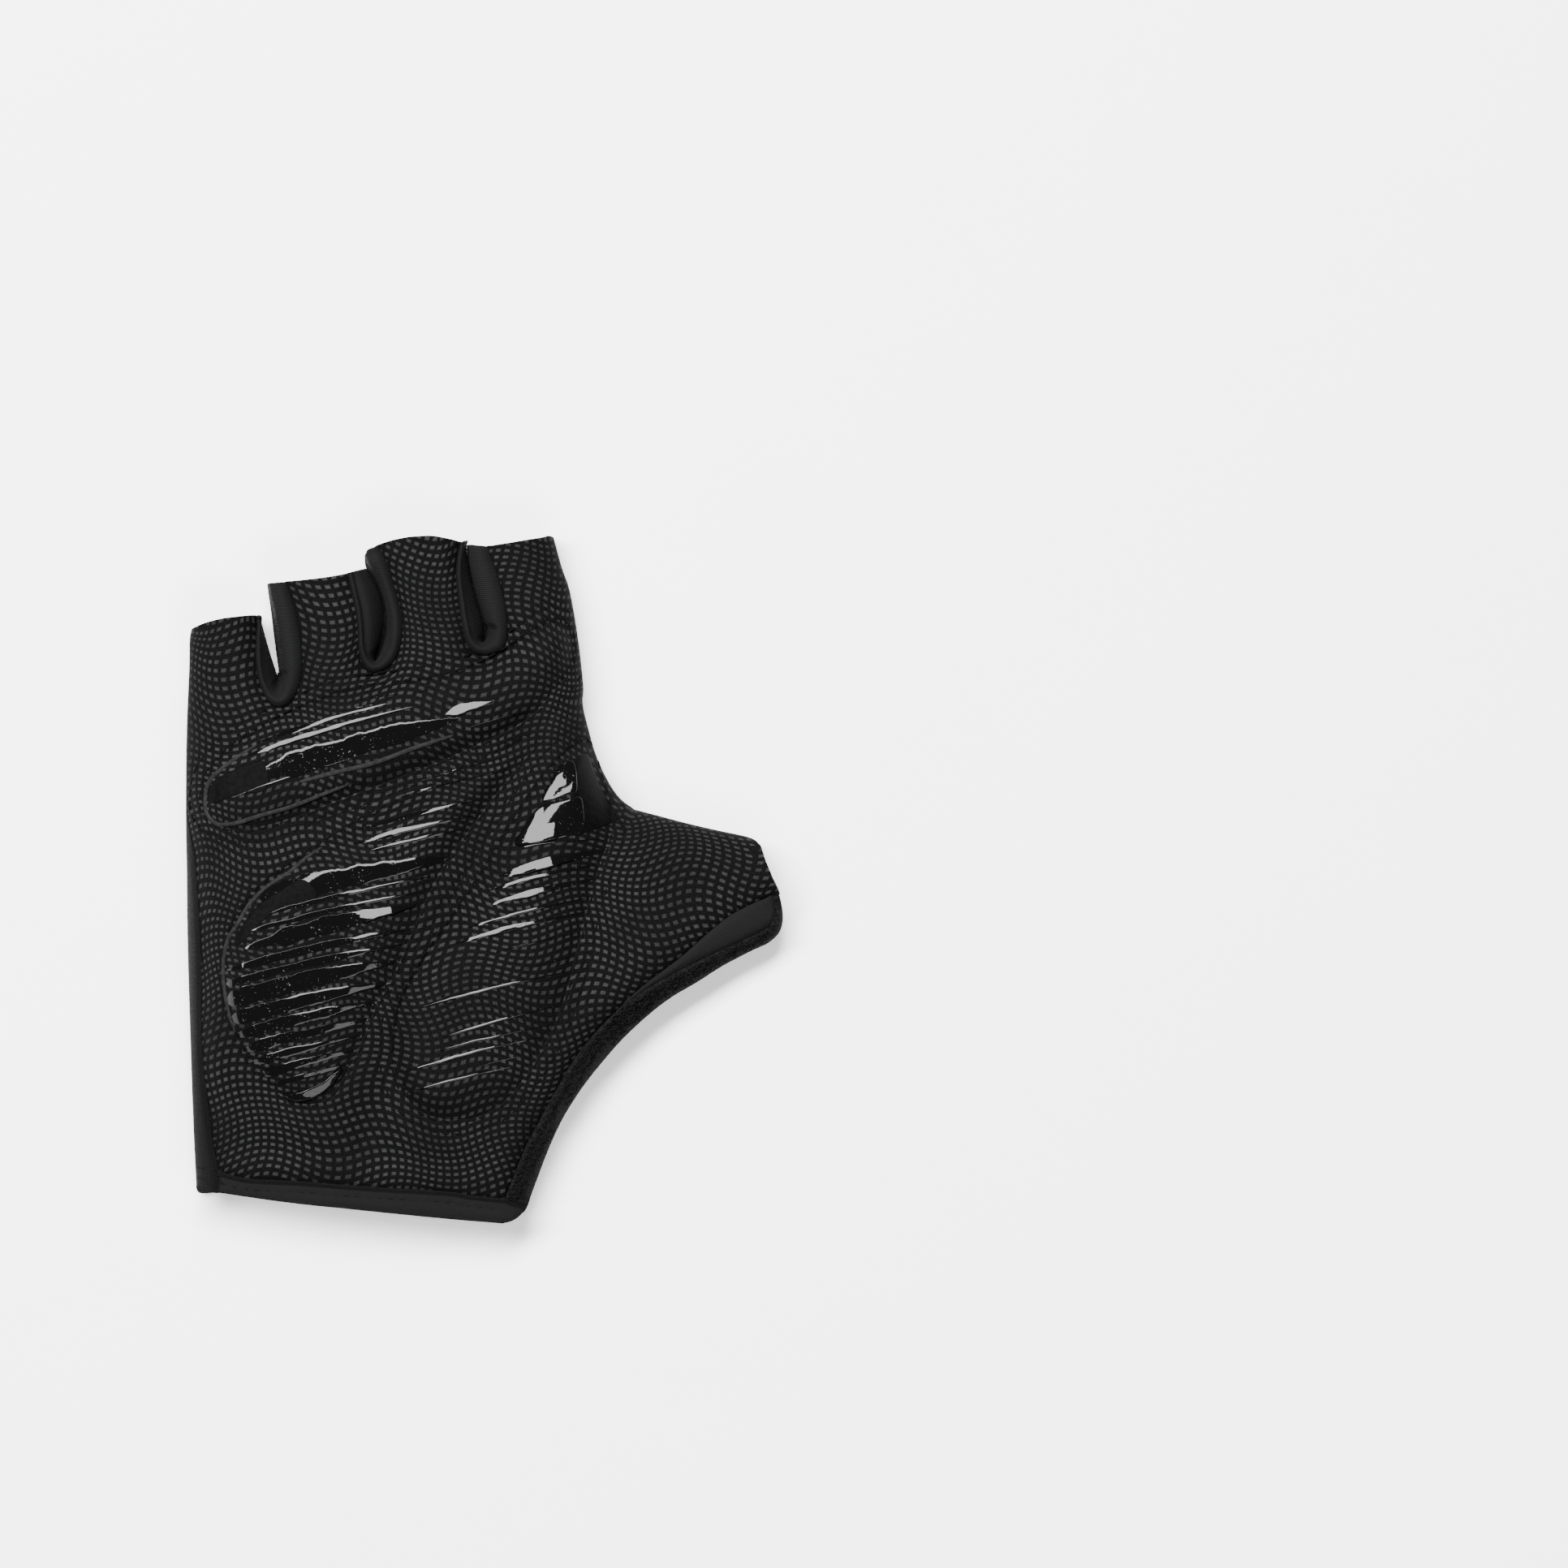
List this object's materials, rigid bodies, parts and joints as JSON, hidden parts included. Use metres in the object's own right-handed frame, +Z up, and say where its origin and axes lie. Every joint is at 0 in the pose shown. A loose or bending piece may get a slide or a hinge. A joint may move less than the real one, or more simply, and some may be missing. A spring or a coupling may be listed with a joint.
{
  "type": "fingerless cycling glove",
  "caption": "Fingerless cycling glove for the right hand, lying palm up: dotted suede palm with raised grip pads, knit gussets between the fingers, terry thumb back.",
  "frame": {"origin": "on the table under the middle of the glove's bounding box", "axes": "+Z up, out of the palm; +Y from the wrist to the fingers; +X to the thumb"},
  "size_m": [0.1434, 0.1646, 0.0241],
  "materials": {
    "palm_suede": "matt synthetic suede with small printed grey dashes",
    "stretch_knit": "smooth matt stretch knit",
    "ribbed_knit": "fine ribbed stretch knit",
    "terry": "looped terry cloth",
    "elastic_tape": "woven elastic edging",
    "pad_cover": "matt synthetic suede over foam",
    "grip_print": "glossy printed silicone",
    "thread": "sewing thread"
  },
  "bodies": {
    "root": {"palm_panel": "palm_suede", "back_panel": "stretch_knit", "thumb_back_panel": "terry", "thumb_gusset": "ribbed_knit", "finger_gusset_1": "ribbed_knit", "finger_gusset_2": "ribbed_knit", "finger_gusset_3": "ribbed_knit", "wrist_binding": "elastic_tape", "metacarpal_pad": "pad_cover", "ulnar_pad": "pad_cover", "thenar_pad": "pad_cover"}
  },
  "joints": []
}
